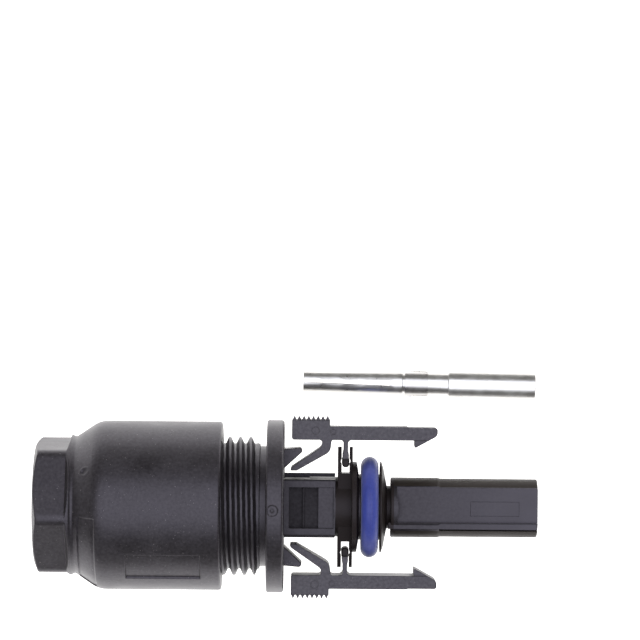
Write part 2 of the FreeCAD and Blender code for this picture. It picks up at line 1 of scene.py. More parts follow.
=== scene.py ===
# %% [markdown]
# # A solar cable coupler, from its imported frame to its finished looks
# The coupler is a black moulded connector about 72 mm long: a screw cap, a threaded housing with a
# flange, two rocker latch arms, a keyed nose with a blue sealing ring, and a tin-plated crimp contact
# that lies beside it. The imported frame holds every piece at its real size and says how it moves. This
# lesson gives each visible piece the shape and finish of the real one.

# %% Load the frame
import math

import bpy
import numpy as np
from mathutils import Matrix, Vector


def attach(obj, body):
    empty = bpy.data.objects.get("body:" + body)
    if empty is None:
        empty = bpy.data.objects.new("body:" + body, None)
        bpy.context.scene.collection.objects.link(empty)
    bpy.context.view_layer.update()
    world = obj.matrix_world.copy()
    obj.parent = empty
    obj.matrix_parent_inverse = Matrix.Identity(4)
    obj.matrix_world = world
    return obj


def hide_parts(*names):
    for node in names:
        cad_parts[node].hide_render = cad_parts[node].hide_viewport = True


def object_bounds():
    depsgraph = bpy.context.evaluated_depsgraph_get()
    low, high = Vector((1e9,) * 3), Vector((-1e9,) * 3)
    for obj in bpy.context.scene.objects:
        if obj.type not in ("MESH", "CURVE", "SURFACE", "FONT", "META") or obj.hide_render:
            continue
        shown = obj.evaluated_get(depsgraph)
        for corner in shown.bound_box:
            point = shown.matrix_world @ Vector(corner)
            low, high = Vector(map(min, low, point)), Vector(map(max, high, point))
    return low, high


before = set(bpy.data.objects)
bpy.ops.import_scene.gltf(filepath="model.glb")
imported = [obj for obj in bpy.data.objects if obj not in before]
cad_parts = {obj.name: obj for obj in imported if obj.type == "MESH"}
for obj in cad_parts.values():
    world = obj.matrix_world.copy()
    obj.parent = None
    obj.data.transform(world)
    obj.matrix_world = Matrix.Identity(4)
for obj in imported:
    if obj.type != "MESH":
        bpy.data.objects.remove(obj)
cad_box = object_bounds()
MM = 0.001
print("whole object, mm:", [round(v / MM, 1) for v in cad_box[1] - cad_box[0]])

# %% [markdown]
# ## Camera
# The connector is seen from straight above through a long lens, half a metre away, with the contact in
# the upper half of the picture. A camera with no rotation already looks down along -Z with +Y up, so
# it only needs a place. A turn of half a degree about Z gives the slight slope that the connector has.

# %% Camera above the table
SENSOR = 36.0
CAMERA_PLACE = (4.98 * MM, 27.03 * MM, 494.8 * MM)
CAMERA_TURN = 0.5
VIEW_WIDTH = 92.7536 * MM

camera_data = bpy.data.cameras.new("camera")
camera_data.sensor_width = SENSOR
camera_data.lens = SENSOR * CAMERA_PLACE[2] / VIEW_WIDTH
camera = bpy.data.objects.new("camera", camera_data)
camera.location = CAMERA_PLACE
camera.rotation_euler = (0, 0, math.radians(CAMERA_TURN))
bpy.context.scene.collection.objects.link(camera)
bpy.context.scene.camera = camera
print("lens, mm:", round(camera_data.lens, 1))

# %% [markdown]
# ## Studio
# Black plastic shows its shape only by what it mirrors. A soft light overhead gives the sheen on
# everything that faces up, and the dim surroundings leave the slopes dark. The table is a light table
# that glows by itself, so there is hardly a shadow and every lower edge mirrors it as a light rim. A
# lamp could do the same from below, but a glowing table needs nothing hidden under it. The pale wall
# far away is seen by the camera alone, so it never shows in the plastic.

# %% Floor, wall and light
def emission_material(name, colour, strength):
    material = bpy.data.materials.new(name)
    material.use_nodes = True
    tree = material.node_tree
    tree.nodes.clear()
    glow = tree.nodes.new("ShaderNodeEmission")
    glow.inputs["Color"].default_value = (*colour, 1)
    glow.inputs["Strength"].default_value = strength
    out = tree.nodes.new("ShaderNodeOutputMaterial")
    tree.links.new(glow.outputs[0], out.inputs["Surface"])
    return material


TABLE_GLOW = 1.5


def floor_material():
    material = bpy.data.materials.new("white_table")
    material.use_nodes = True
    shader = material.node_tree.nodes["Principled BSDF"]
    shader.inputs["Base Color"].default_value = (0.93, 0.925, 0.91, 1)
    shader.inputs["Roughness"].default_value = 0.9
    shader.inputs["Specular IOR Level"].default_value = 0.1
    shader.inputs["Emission Color"].default_value = (1.0, 0.985, 0.955, 1)
    shader.inputs["Emission Strength"].default_value = TABLE_GLOW
    return material


def new_object(name, mesh):
    made = bpy.data.objects.new(name, mesh)
    bpy.context.scene.collection.objects.link(made)
    return made


def disc_mesh(name, radius, z, steps=96):
    turns = [2 * math.pi * i / steps for i in range(steps)]
    mesh = bpy.data.meshes.new(name)
    points = [(radius * math.cos(a), radius * math.sin(a), z) for a in turns]
    mesh.from_pydata(points, [], [tuple(range(steps))])
    return mesh


def wall_mesh(name, radius, z0, z1, steps=96):
    turns = [2 * math.pi * i / steps for i in range(steps)]
    points = [(radius * math.cos(a), radius * math.sin(a), z) for z in (z0, z1) for a in turns]
    faces = [(i, (i + 1) % steps, steps + (i + 1) % steps, steps + i) for i in range(steps)]
    mesh = bpy.data.meshes.new(name)
    mesh.from_pydata(points, [], faces)
    return mesh


ROOM_RADIUS = 3.0
WALL_RADIUS = 0.98 * ROOM_RADIUS
WALL_TOP = 2.5
WALL_GLOW = 0.95
table_z = cad_box[0].z
floor = new_object("floor", disc_mesh("floor", ROOM_RADIUS, table_z))
floor.data.materials.append(floor_material())
wall = new_object("wall", wall_mesh("wall", WALL_RADIUS, table_z, WALL_TOP))
wall.data.materials.append(emission_material("pale_wall", (1, 0.995, 0.985), WALL_GLOW))
wall.visible_glossy = False
wall.visible_diffuse = False
wall.visible_shadow = False

SOFTBOX_PLACE = (0, 0.045, 0.75)
SOFTBOX_WIDTH = 1.05
SOFTBOX_POWER = 6.5
ROOM_GLOW = 0.2
softbox_data = bpy.data.lights.new("softbox", "AREA")
softbox_data.shape = "DISK"
softbox_data.size = SOFTBOX_WIDTH
softbox_data.energy = SOFTBOX_POWER
softbox_data.color = (0.90, 0.92, 1.0)
softbox = bpy.data.objects.new("softbox", softbox_data)
softbox.location = SOFTBOX_PLACE
bpy.context.scene.collection.objects.link(softbox)

world = bpy.data.worlds.new("room")
bpy.context.scene.world = world
world.use_nodes = True
world.node_tree.nodes["Background"].inputs["Color"].default_value = (1.0, 0.97, 0.93, 1)
world.node_tree.nodes["Background"].inputs["Strength"].default_value = ROOM_GLOW
bpy.context.scene.view_settings.view_transform = "Standard"
print("table at z, mm:", round(table_z / MM, 2))

# %% [markdown]
# ## Finishes
# Every finish is made of nodes and measured in the frame's metres, so its grain has a real size.

# %% Helpers for finishes
def surface(name):
    """A material with its node tree, its shader and its texture coordinates."""
    material = bpy.data.materials.new(name)
    material.use_nodes = True
    tree = material.node_tree
    shader = tree.nodes["Principled BSDF"]
    where = tree.nodes.new("ShaderNodeTexCoord").outputs["Object"]
    return material, tree, shader, where


def noise(tree, where, size, detail=2.0, stretch=(1, 1, 1)):
    """Noise whose lumps are about this size, in metres, stretched along each axis."""
    mapping = tree.nodes.new("ShaderNodeMapping")
    mapping.inputs["Scale"].default_value = tuple(1 / (size * s) for s in stretch)
    tree.links.new(where, mapping.inputs["Vector"])
    texture = tree.nodes.new("ShaderNodeTexNoise")
    texture.inputs["Scale"].default_value = 1.0
    texture.inputs["Detail"].default_value = detail
    tree.links.new(mapping.outputs[0], texture.inputs["Vector"])
    return texture.outputs["Fac"]


def spread(tree, source, low, high, from_low=0.3, from_high=0.7):
    """Stretch a noise's middle to a range of values."""
    node = tree.nodes.new("ShaderNodeMapRange")
    node.inputs["From Min"].default_value = from_low
    node.inputs["From Max"].default_value = from_high
    node.inputs["To Min"].default_value = low
    node.inputs["To Max"].default_value = high
    tree.links.new(source, node.inputs["Value"])
    return node.outputs["Result"]


def two_colours(tree, source, dark, light):
    node = tree.nodes.new("ShaderNodeMix")
    node.data_type = "RGBA"
    node.inputs["A"].default_value = (*dark, 1)
    node.inputs["B"].default_value = (*light, 1)
    tree.links.new(source, node.inputs["Factor"])
    return node.outputs["Result"]


def relief(tree, source, height, before=None):
    """Bump of this height, in metres, on top of an earlier bump."""
    node = tree.nodes.new("ShaderNodeBump")
    node.inputs["Strength"].default_value = 1.0
    node.inputs["Distance"].default_value = height
    tree.links.new(source, node.inputs["Height"])
    if before is not None:
        tree.links.new(before, node.inputs["Normal"])
    return node.outputs["Normal"]


def speckled(tree, where, size):
    """1 in small scattered flecks, where the noise comes near its top, and 0 elsewhere."""
    return spread(tree, noise(tree, where, size, 1.0), 0, 1, 0.735, 0.775)


EDGE_ROUND = 0.1 * MM
CLOUD_SIZE = 4.0 * MM
MOTTLE_SIZE = 0.42 * MM
MOTTLE_SHARE = 0.7
LUMP_SIZE = 1.6 * MM
GLOSS_BELOW = 0.04
GLOSS_ABOVE = 0.05
PLASTIC_GLOSS = 0.48
PLASTIC_TINT = (0.92, 0.86, 1.0, 1)


def uneven_gloss(tree, shader, clouds, roughness):
    varied = spread(tree, clouds, roughness - GLOSS_BELOW, roughness + GLOSS_ABOVE)
    tree.links.new(varied, shader.inputs["Roughness"])


def moulded(name, dark, light, roughness, grain=0.20 * MM, grain_height=0.008 * MM):
    """Spark-eroded mould grain, fine mottling, faint flow clouds and uneven gloss."""
    material, tree, shader, where = surface(name)
    clouds = noise(tree, where, CLOUD_SIZE, 3.0)
    mottle = noise(tree, where, MOTTLE_SIZE, 3.0)
    both = tree.nodes.new("ShaderNodeMath")
    both.operation = "MULTIPLY_ADD"
    both.inputs[1].default_value = MOTTLE_SHARE
    tree.links.new(mottle, both.inputs[0])
    tree.links.new(spread(tree, clouds, 0.09, 0.22), both.inputs[2])
    colour = two_colours(tree, spread(tree, both.outputs[0], 0, 1), dark, light)
    tree.links.new(colour, shader.inputs["Base Color"])
    uneven_gloss(tree, shader, clouds, roughness)
    soft_edges = tree.nodes.new("ShaderNodeBevel")
    soft_edges.samples = 4
    soft_edges.inputs["Radius"].default_value = EDGE_ROUND
    lumps = relief(tree, noise(tree, where, LUMP_SIZE, 1.0), grain_height * 1.5, soft_edges.outputs[0])
    fine = noise(tree, where, grain, 2.0)
    tree.links.new(relief(tree, fine, grain_height, lumps), shader.inputs["Normal"])
    shader.inputs["Specular IOR Level"].default_value = PLASTIC_GLOSS
    shader.inputs["Specular Tint"].default_value = PLASTIC_TINT
    return material


def parts_of(material):
    """A finished material's node tree, its shader and its texture coordinates."""
    tree = material.node_tree
    where = tree.nodes["Texture Coordinate"].outputs["Object"]
    return tree, tree.nodes["Principled BSDF"], where


def along(tree, where, axis):
    apart = tree.nodes.new("ShaderNodeSeparateXYZ")
    tree.links.new(where, apart.inputs[0])
    return apart.outputs[axis]


def within(tree, where, axis, low, high):
    """1 where a coordinate lies between two values in millimetres, 0 elsewhere."""
    node = tree.nodes.new("ShaderNodeMath")
    node.operation = "COMPARE"
    node.inputs[1].default_value = (low + high) / 2 * MM
    node.inputs[2].default_value = (high - low) / 2 * MM
    tree.links.new(along(tree, where, axis), node.inputs[0])
    return node.outputs[0]


def product(tree, *factors):
    result = factors[0]
    for factor in factors[1:]:
        node = tree.nodes.new("ShaderNodeMath")
        node.operation = "MULTIPLY"
        tree.links.new(result, node.inputs[0])
        tree.links.new(factor, node.inputs[1])
        result = node.outputs[0]
    return result


def masked(tree, mask, socket, value):
    """Give a shader input another value where the mask is 1, and leave it as it was elsewhere."""
    node = tree.nodes.new("ShaderNodeMix")
    node.data_type = "RGBA" if socket.type == "RGBA" else "FLOAT"
    if socket.is_linked:
        tree.links.new(socket.links[0].from_socket, node.inputs["A"])
    else:
        node.inputs["A"].default_value = socket.default_value
    node.inputs["B"].default_value = value
    tree.links.new(mask, node.inputs["Factor"])
    tree.links.new(node.outputs["Result"], socket)


# %% [markdown]
# ## Black polyamide
# The cap, the housing and the front insulator are glass-filled nylon from a spark-eroded mould: satin
# black, with a fine grain, faint flow clouds and slightly uneven gloss. A single dark colour would look
# like paint, so three scales of noise drive the colour, the gloss and the relief. The edges of moulded
# parts are never sharp, so the shader also rounds the light on each edge by a tenth of a millimetre.

# %% Black polyamide
black_polyamide = moulded("black_polyamide", (0.009, 0.008, 0.0085), (0.036, 0.033, 0.036), 0.40)
latch_polyamide = moulded("latch_polyamide", (0.024, 0.022, 0.024), (0.070, 0.068, 0.073), 0.46)
cage_polyamide = moulded("cage_polyamide", (0.045, 0.045, 0.047), (0.07, 0.07, 0.073), 0.5)
DUST = (0.16, 0.15, 0.15, 1)
DUST_SIZE = 0.22 * MM
for material in (black_polyamide, latch_polyamide):
    tree, shader, where = parts_of(material)
    masked(tree, speckled(tree, where, DUST_SIZE), shader.inputs["Base Color"], DUST)
print("moulded finishes:", black_polyamide.name, latch_polyamide.name, cage_polyamide.name)

# %% [markdown]
# ## Painted shade and sheen
# Some places on the latch arms and the front insulator get their own colour and gloss. The arms' feet
# between the fork's walls get a darker base and the grooves either side of the ring a plain brown-black
# one, both with weak gloss: painted shade where they lie low. The round sides of the nose get a brown base
# and almost no gloss: painted shade for the dim table beside them, and partly a duller surface. The nose's
# flats turn paler and bluer towards the tip: a painted sheen. The floors of the stepped windows are duller
# and rougher. Separate materials would need the meshes cut up, so each place is a mask over the piece's
# own coordinates instead.

# %% Painted shade on the latch arms' feet
# painted shade: a plain brown-black base for the grooves either side of the ring, where they lie low
PAINTED_SHADE_BASE = (0.020, 0.016, 0.015, 1)
# weak gloss that goes with the painted shade on the feet and in the grooves
PAINTED_SHADE_GLOSS = 0.15
tree, shader, where = parts_of(latch_polyamide)
# painted shade: the feet lie low between the fork's walls, so their base is darker and their gloss weak
feet_painted_shade = product(tree, within(tree, where, "X", 8.25, 9.5), within(tree, where, "Z", -2.4, 2.4))
masked(tree, feet_painted_shade, shader.inputs["Base Color"], (0.020, 0.017, 0.016, 1))
masked(tree, feet_painted_shade, shader.inputs["Specular IOR Level"], PAINTED_SHADE_GLOSS)
print("masks over the latch arms:", len(tree.nodes), "nodes")

# %% Finish of the front insulator, with painted shade and sheen
NOSE_FROM = 15.45
NOSE_TO = 40
NOSE_FLAT_Z = 2.87
# painted sheen: the nose's flats turn paler and bluer towards the tip
PAINTED_SHEEN_TIP = (0.052, 0.049, 0.058, 1)
# painted shade: brown base for the round sides of the nose, which face the dim table beside them
NOSE_SIDE_PAINTED_SHADE = (0.030, 0.025, 0.021, 1)
insulator_polyamide = moulded(
    "insulator_polyamide", (0.008, 0.007, 0.0075), (0.030, 0.028, 0.031), 0.42)
tree, shader, where = parts_of(insulator_polyamide)
base = shader.inputs["Base Color"]
gloss = shader.inputs["Specular IOR Level"]
gloss.default_value = 0.40
nose = within(tree, where, "X", NOSE_FROM, NOSE_TO)
# painted sheen, growing from 17.5 mm to 36 mm along the nose
sheen_share_to_tip = spread(tree, along(tree, where, "X"), 0.0, 1.0, 17.5 * MM, 36.0 * MM)
masked(tree, product(tree, nose, sheen_share_to_tip), base, PAINTED_SHEEN_TIP)
# painted shade on the round sides of the nose: brown base and almost no gloss, partly a duller surface
nose_sides_painted_shade = product(tree, nose, within(tree, where, "Z", -NOSE_FLAT_Z, NOSE_FLAT_Z))
masked(tree, nose_sides_painted_shade, base, NOSE_SIDE_PAINTED_SHADE)
masked(tree, nose_sides_painted_shade, gloss, 0.08)
window_floor = product(tree, within(tree, where, "X", 0.7, 4.97), within(tree, where, "Y", -2.94, 2.94),
                       within(tree, where, "Z", -3.7, 3.7))
masked(tree, window_floor, gloss, 0.32)
masked(tree, window_floor, shader.inputs["Roughness"], 0.7)
# painted shade in the grooves either side of the ring: brown-black base and weak gloss
for groove in ((7.45, 10.7), (13.8, 15.85)):
    groove_painted_shade = within(tree, where, "X", *groove)
    masked(tree, groove_painted_shade, base, PAINTED_SHADE_BASE)
    masked(tree, groove_painted_shade, gloss, PAINTED_SHADE_GLOSS)
print("masks over the insulator:", len(tree.nodes), "nodes")

# %% [markdown]
# ## Rubber and silicone
# The cable seal is dull black rubber. The ring on the nose is blue silicone: soft gloss, a little light
# passing under the skin, and dust-fine grain.

# %% Rubber and silicone
black_rubber = moulded("black_rubber", (0.018, 0.018, 0.018), (0.024, 0.024, 0.024), 0.7)
blue_silicone = moulded(
    "blue_silicone", (0.024, 0.040, 0.25), (0.038, 0.058, 0.33), 0.46, 0.3 * MM, 0.002 * MM)
silicone_shader = blue_silicone.node_tree.nodes["Principled BSDF"]
silicone_shader.inputs["Specular Tint"].default_value = (1, 1, 1, 1)
silicone_shader.inputs["Sheen Weight"].default_value = 0.25
silicone_shader.inputs["Subsurface Weight"].default_value = 0.08
silicone_shader.inputs["Subsurface Scale"].default_value = 0.3 * MM
print("soft finishes:", black_rubber.name, blue_silicone.name)

# %% [markdown]
# ## Tinned brass
# The contact is turned from brass and tin-plated: bright, with fine turning rings round it and cloudy
# patches where the plating is duller. The rings are noise squeezed along the contact's own axis, so
# they run round it. The clip is spring steel, a little darker and smoother.

# %% Tinned brass and spring steel
PLATING_CLOUD = 1.2 * MM
PIT_SIZE = 0.3 * MM
PIT_DEPTH = 0.0012 * MM


def plated(name, dark, light, roughness, ring_width, ring_height):
    """Turned metal: rings across X, cloudy plating, uneven gloss."""
    material, tree, shader, where = surface(name)
    turning = noise(tree, where, ring_width, 2.0, stretch=(1, 60, 60))
    clouds = noise(tree, where, PLATING_CLOUD, 3.0)
    colour = two_colours(tree, spread(tree, clouds, 0, 1), dark, light)
    tree.links.new(colour, shader.inputs["Base Color"])
    uneven_gloss(tree, shader, clouds, roughness)
    pits = relief(tree, noise(tree, where, PIT_SIZE, 2.0), PIT_DEPTH)
    tree.links.new(relief(tree, turning, ring_height, pits), shader.inputs["Normal"])
    shader.inputs["Metallic"].default_value = 1.0
    return material


tinned_brass = plated(
    "tinned_brass", (0.58, 0.575, 0.56), (0.68, 0.675, 0.66), 0.31, 0.12 * MM, 0.0012 * MM)
spring_steel = plated(
    "spring_steel", (0.46, 0.45, 0.44), (0.58, 0.57, 0.56), 0.30, 0.08 * MM, 0.002 * MM)
print("metals:", tinned_brass.name, spring_steel.name)

# %% [markdown]
# ## Carried pieces
# The front insulator, the cage, the seal, the contact and its clip are already the right shape in the
# frame: flat faces, slots and steps that were designed as such. They keep their frame meshes and only
# get their finishes. The smooth pieces that follow are made again, with rounder blends.

# %% Finishes of the carried pieces
carried = {
    "front_insulator": insulator_polyamide,
    "clamping_cage": cage_polyamide,
    "cable_seal": black_rubber,
    "crimp_contact": tinned_brass,
    "contact_retaining_clip": spring_steel,
}
for name, material in carried.items():
    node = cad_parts[name]
    node.data.materials.clear()
    node.data.materials.append(material)
print("carried:", ", ".join(carried))

# %% [markdown]
# ## Round pieces as grids
# The cap and the housing are turned shapes with something that breaks the roundness: a hexagon, a
# sunk panel, a thread. Cutting those into a cylinder leaves ragged faces. Instead each surface is a grid
# of stations along the axis and turns round it, and a formula gives every point its radius. Stations
# and turns lie closer together where the shape changes quickly.

# %% Helpers for grids
def stops(start, end, wide, edges=(), reach=0.35, fine=0.06):
    """Places from start to end: wide steps apart, and fine steps near each edge."""
    places = set(np.round(np.linspace(start, end, max(2, int((end - start) / wide) + 1)), 4))
    for edge in edges:
        near = np.arange(edge - reach, edge + reach + fine / 2, fine)
        places.update(round(float(p), 4) for p in near if start < p < end)
    return np.array(sorted(places))


def smooth_step(value, low, high):
    share = np.clip((value - low) / (high - low), 0, 1)
    return share * share * (3 - 2 * share)


def between(value, low, high, soft):
    """1 inside low to high, 0 outside, with soft flanks."""
    return smooth_step(value, low - soft, low + soft) * (1 - smooth_step(value, high - soft, high + soft))


def smaller(a, b, soft):
    """The smaller of two radii, blended where they meet."""
    overlap = np.maximum(soft - np.abs(a - b), 0) / soft
    return np.minimum(a, b) - overlap * overlap * soft / 4


def rounded(corners, arc_steps=6):
    """Outline through corners, where a third number rounds that corner to its radius."""
    outline = []
    count = len(corners)
    for i, corner in enumerate(corners):
        here = np.array(corner[:2], float)
        if len(corner) < 3:
            outline.append(here)
            continue
        back = np.array(corners[i - 1][:2], float) - here
        ahead = np.array(corners[(i + 1) % count][:2], float) - here
        back /= np.linalg.norm(back)
        ahead /= np.linalg.norm(ahead)
        half_angle = math.acos(float(np.clip(back @ ahead, -1, 1))) / 2
        reach = corner[2] / math.tan(half_angle)
        inward = (back + ahead) / np.linalg.norm(back + ahead)
        centre = here + inward * corner[2] / math.sin(half_angle)
        first = here + back * reach - centre
        last = here + ahead * reach - centre
        for step in range(arc_steps + 1):
            share = step / arc_steps
            blend = first * (1 - share) + last * share
            outline.append(centre + blend / np.linalg.norm(blend) * corner[2])
    return np.array(outline)


def closed_grid(name, stations, turns):
    """Closed mesh from stations, each (x, radius at every turn), that lead round the section and back."""
    count = len(turns)
    cos_turns = np.cos(np.radians(turns))
    sin_turns = np.sin(np.radians(turns))
    points = np.empty((len(stations), count, 3))
    for row, (x, radius) in zip(points, stations):
        row[:, 0] = x
        row[:, 1] = radius * cos_turns
        row[:, 2] = radius * sin_turns
    faces = []
    for i in range(len(stations)):
        row, next_row = i * count, (i + 1) % len(stations) * count
        for j in range(count):
            k = (j + 1) % count
            faces.append((row + j, next_row + j, next_row + k, row + k))
    mesh = bpy.data.meshes.new(name)
    mesh.from_pydata((points.reshape(-1, 3) * MM).tolist(), [], faces)
    mesh.validate()
    return mesh


def finished(name, mesh, material, body, node, sharp=40):
    """Object from a mesh, smooth up to this angle, that stands for a frame node and moves with a body."""
    mesh.polygons.foreach_set("use_smooth", [True] * len(mesh.polygons))
    mesh.set_sharp_from_angle(angle=math.radians(sharp))
    made = new_object(name, mesh)
    made.data.materials.append(material)
    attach(made, body)
    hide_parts(node)
    print(f"{name}: {len(mesh.polygons)} faces")
    return made


# %% [markdown]
# ## Screw cap
# The cap is one hollow moulding. Behind, a hexagon takes a spanner and runs out into a round collar.
# Then a cone widens to the round grip, which carries a sunk blank panel for a label, and the cone has a
# shallow sunk land and the dimple where the plastic entered the mould. One radius formula makes all
# of it: the turned outline, then the smaller of that and the hexagon, then the sunk places.

# %% Sizes of the cap
grip_r = 12.2
cap_rear = -35.9
cap_front = -8.95
hex_across = 18.0
hex_end = cap_rear + 4.7
hex_turn = 40.0
run_out = 1.0
collar_r = 10.15
cone_from = hex_end + run_out
cone_to = cone_from + 3.55
panel_rear = cap_front - 13.5
panel_front = cap_front - 2.9
panel_turns = (123, 146)
panel_depth = 0.28
land_rear = cone_from + 0.9
land_front = cone_to - 0.2
land_turns = (97, 168)
land_depth = 0.2
dimple_x = cone_from + 1.85
dimple_turn = 62
dimple_from_axis = 10.8
dimple_r = 0.5
dimple_depth = 0.22
cap_outline = rounded([
    (cap_rear, 8.65),
    (cap_rear + 0.6, collar_r, 0.4),
    (hex_end + 0.6 * run_out, collar_r, 0.3),
    (cone_from, 9.8, 0.5),
    (cone_to, grip_r, 3.6),
    (cap_front, grip_r, 0.4),
    (cap_front, grip_r - 1),
])
print("cap length, mm:", round(cap_front - cap_rear, 2))


# %% Radius of the cap's outside
def hexagon_r(turns, across):
    """Distance from the axis to a hexagon's side at each turn."""
    off_centre = np.radians((turns - hex_turn) % 60 - 30)
    return across / 2 / np.cos(off_centre)


HEX_WIDENING = 5.5
HEX_BLEND = 0.22
RIM_RISE = 0.05
RIM_R = 0.62
RIM_WIDTH = 0.12


def cap_outside_r(x, turns):
    """Outside radius of the cap, with its flats, panel, land and dimple."""
    plain = np.interp(x, cap_outline[:-1, 0], cap_outline[:-1, 1])
    rise = np.clip((x - hex_end) / run_out, 0, 3)
    across = hex_across + HEX_WIDENING * rise ** 1.25
    radius = smaller(plain, hexagon_r(turns, across), HEX_BLEND)
    panel = between(x, panel_rear, panel_front, 0.07) * between(turns, *panel_turns, 0.4)
    land = between(x, land_rear, land_front, 0.08) * between(turns, *land_turns, 0.5)
    off_dimple = np.hypot(x - dimple_x, (turns - dimple_turn) * np.radians(1) * dimple_from_axis)
    dimple = np.clip(1 - (off_dimple / dimple_r) ** 2, 0, 1) * dimple_depth
    rim = RIM_RISE * np.exp(-((off_dimple - RIM_R) / RIM_WIDTH) ** 2)
    return radius - panel_depth * panel - land_depth * land - dimple + rim


def thread_height(x, turns, pitch, start, flank, crest):
    """Height share, 0 at the root and 1 at the crest, of a right-hand thread about X."""
    past_crest = (x - start - (turns + 90) / 360 * pitch) % pitch
    from_crest = np.minimum(past_crest, pitch - past_crest)
    return 1 - np.clip((from_crest - crest) / flank, 0, 1)


# %% [markdown]
# The inside of the cap shows through its mouth and its cable entry, so the grid carries on round the
# mouth into the threaded bore, down the inner cone that squeezes the cage, and out at the cable entry.

# %% Screw cap
PITCH = 1.5
THREAD_START = -21.75
THREAD_FLANK = 0.41
CREST_HALF = 0.17
CAP_THREAD_REAR = -22.5
bore_r = 10.2
minor_r = 9.28
cap_thread_to = cap_front - 1.0
inner_cone_rear = cap_rear + 1.6
inner_cone_front = -27.45
hex_edges = [hex_turn + 60 * i for i in range(6)]
cap_turns = stops(0, 360, 2.5, hex_edges, 5, 0.7)
turn_edges = (dimple_turn - 5, dimple_turn, dimple_turn + 5, *land_turns, *panel_turns)
cap_turns = np.union1d(cap_turns, stops(52, 172, 2.5, turn_edges, 3.0, 0.3))[:-1]
outside_edges = (cap_rear + 0.6, hex_end, hex_end + run_out, land_rear, dimple_x, land_front,
                 panel_rear, panel_front, cap_front - 0.2)
cap_stations = []
for x in stops(cap_rear, cap_front, 0.45, outside_edges, 0.55, 0.07):
    cap_stations.append((x, cap_outside_r(x, cap_turns)))
for radius in (grip_r - 0.8, bore_r + 0.25):
    cap_stations.append((cap_front, np.full(len(cap_turns), radius)))
for x in stops(inner_cone_front, cap_front - 0.2, 0.11)[::-1]:
    height = thread_height(x, cap_turns, PITCH, THREAD_START + PITCH / 2, THREAD_FLANK, CREST_HALF)
    height = height * smooth_step(cap_thread_to - x, 0, 0.9) * (x > CAP_THREAD_REAR)
    cap_stations.append((x, bore_r - (bore_r - minor_r) * height))
for x, radius in ((inner_cone_front, 8.1), (inner_cone_rear, 5.0), (inner_cone_rear, 4.6),
                  (cap_rear + 0.5, 4.6), (cap_rear + 0.12, 4.95), (cap_rear, 5.1), (cap_rear, 8.3)):
    cap_stations.append((x, np.full(len(cap_turns), radius)))
cap_mesh = closed_grid("screw_cap_skin", cap_stations, cap_turns)
finished("screw_cap_skin", cap_mesh, black_polyamide, "screw_cap", "screw_cap", 32)

# %% [markdown]
# ## Threaded housing
# The housing is a threaded sleeve with a round flange. Its thread is a true helix: the ridge moves one
# pitch along the axis for each full turn, with a narrow flat crest, an equally narrow flat root and
# straight flanks between them. The crest and the root each catch a line of light and the flanks stay
# dark. A screw modifier could sweep a tooth, but it would end in an open face. The grid stays closed.

# %% Threaded housing
thread_rear = -21.0
thread_front = -3.5
flange_rear = -2.5
flange_r = 12.5
crest_r = 10.0
root_r = 9.08
neck_r = 8.7
sleeve_r = 8.1
spigot_r = 5.42
spigot_from = -11.35
gate_x = -1.55
GATE_DEPTH = 0.14
NUB_RISE = 0.1
gate_turns = np.arange(84, 96.1, 0.5)
housing_turns = np.union1d(np.arange(0, 360, 3.0), gate_turns)
everywhere = np.ones(len(housing_turns))


def housing_thread_r(x):
    height = thread_height(x, housing_turns, PITCH, THREAD_START, THREAD_FLANK, CREST_HALF)
    ends = smooth_step(x, thread_rear + 0.2, thread_rear + 1.2) * smooth_step(thread_front - x, 0.15, 0.7)
    return root_r + (crest_r - root_r) * height * ends


def flange_rim_r(x):
    """Round mark with a nub in it, where the plastic entered, at the top of the rim."""
    off_gate = np.hypot(x - gate_x, (housing_turns - 90) * np.radians(1) * flange_r)
    pit = 1 - smooth_step(off_gate, 0.7, 0.85)
    nub = 1 - smooth_step(off_gate, 0.12, 0.4)
    return flange_r - GATE_DEPTH * pit + NUB_RISE * nub


rear_side = rounded([
    (thread_front, neck_r), (flange_rear, neck_r, 0.15), (flange_rear, flange_r, 0.3), (0, flange_r),
])[1:-1]
front_side = rounded([(flange_rear, flange_r), (0, flange_r, 0.4), (0, spigot_r)])[1:-1]
housing_stations = [(thread_rear, everywhere * radius) for radius in (sleeve_r + 0.15, root_r - 0.2)]
housing_stations += [(x, housing_thread_r(x)) for x in np.arange(thread_rear + 0.15, thread_front, 0.075)]
housing_stations += [(thread_front, everywhere * root_r), (thread_front + 0.05, everywhere * neck_r)]
housing_stations += [(x, everywhere * radius) for x, radius in rear_side]
housing_stations += [(x, flange_rim_r(x)) for x in np.arange(flange_rear + 0.32, -0.45, 0.1)]
housing_stations += [(x, everywhere * radius) for x, radius in front_side]
for x, radius in ((0, spigot_r), (spigot_from, spigot_r), (spigot_from, sleeve_r),
                  (thread_rear + 0.15, sleeve_r)):
    housing_stations.append((x, everywhere * radius))
housing_mesh = closed_grid("housing_skin", housing_stations, housing_turns)
finished("housing_skin", housing_mesh, black_polyamide, "housing", "threaded_housing",
         35)

# %% [markdown]
# ## Flat pieces as chamfered plates
# The latch arms and the ramps behind them are flat shapes of constant width, as a mould that opens
# sideways gives them. Each is one outline pushed through its width, with the outline drawn in a little
# at both ends, so every edge has a real chamfer. A bevel modifier would tangle at the fine teeth.

# %% Helpers for plates
def drawn_in(outline, depth):
    """The same outline, moved inward by this depth."""
    ahead = np.roll(outline, -1, 0) - outline
    ahead /= np.linalg.norm(ahead, axis=1)[:, None]
    back = np.roll(ahead, 1, 0)
    side_ahead = np.stack([-ahead[:, 1], ahead[:, 0]], 1)
    side_back = np.stack([-back[:, 1], back[:, 0]], 1)
    turn = 1 + np.sum(side_ahead * side_back, 1)
    return outline + depth * (side_ahead + side_back) / np.maximum(turn, 0.5)[:, None]


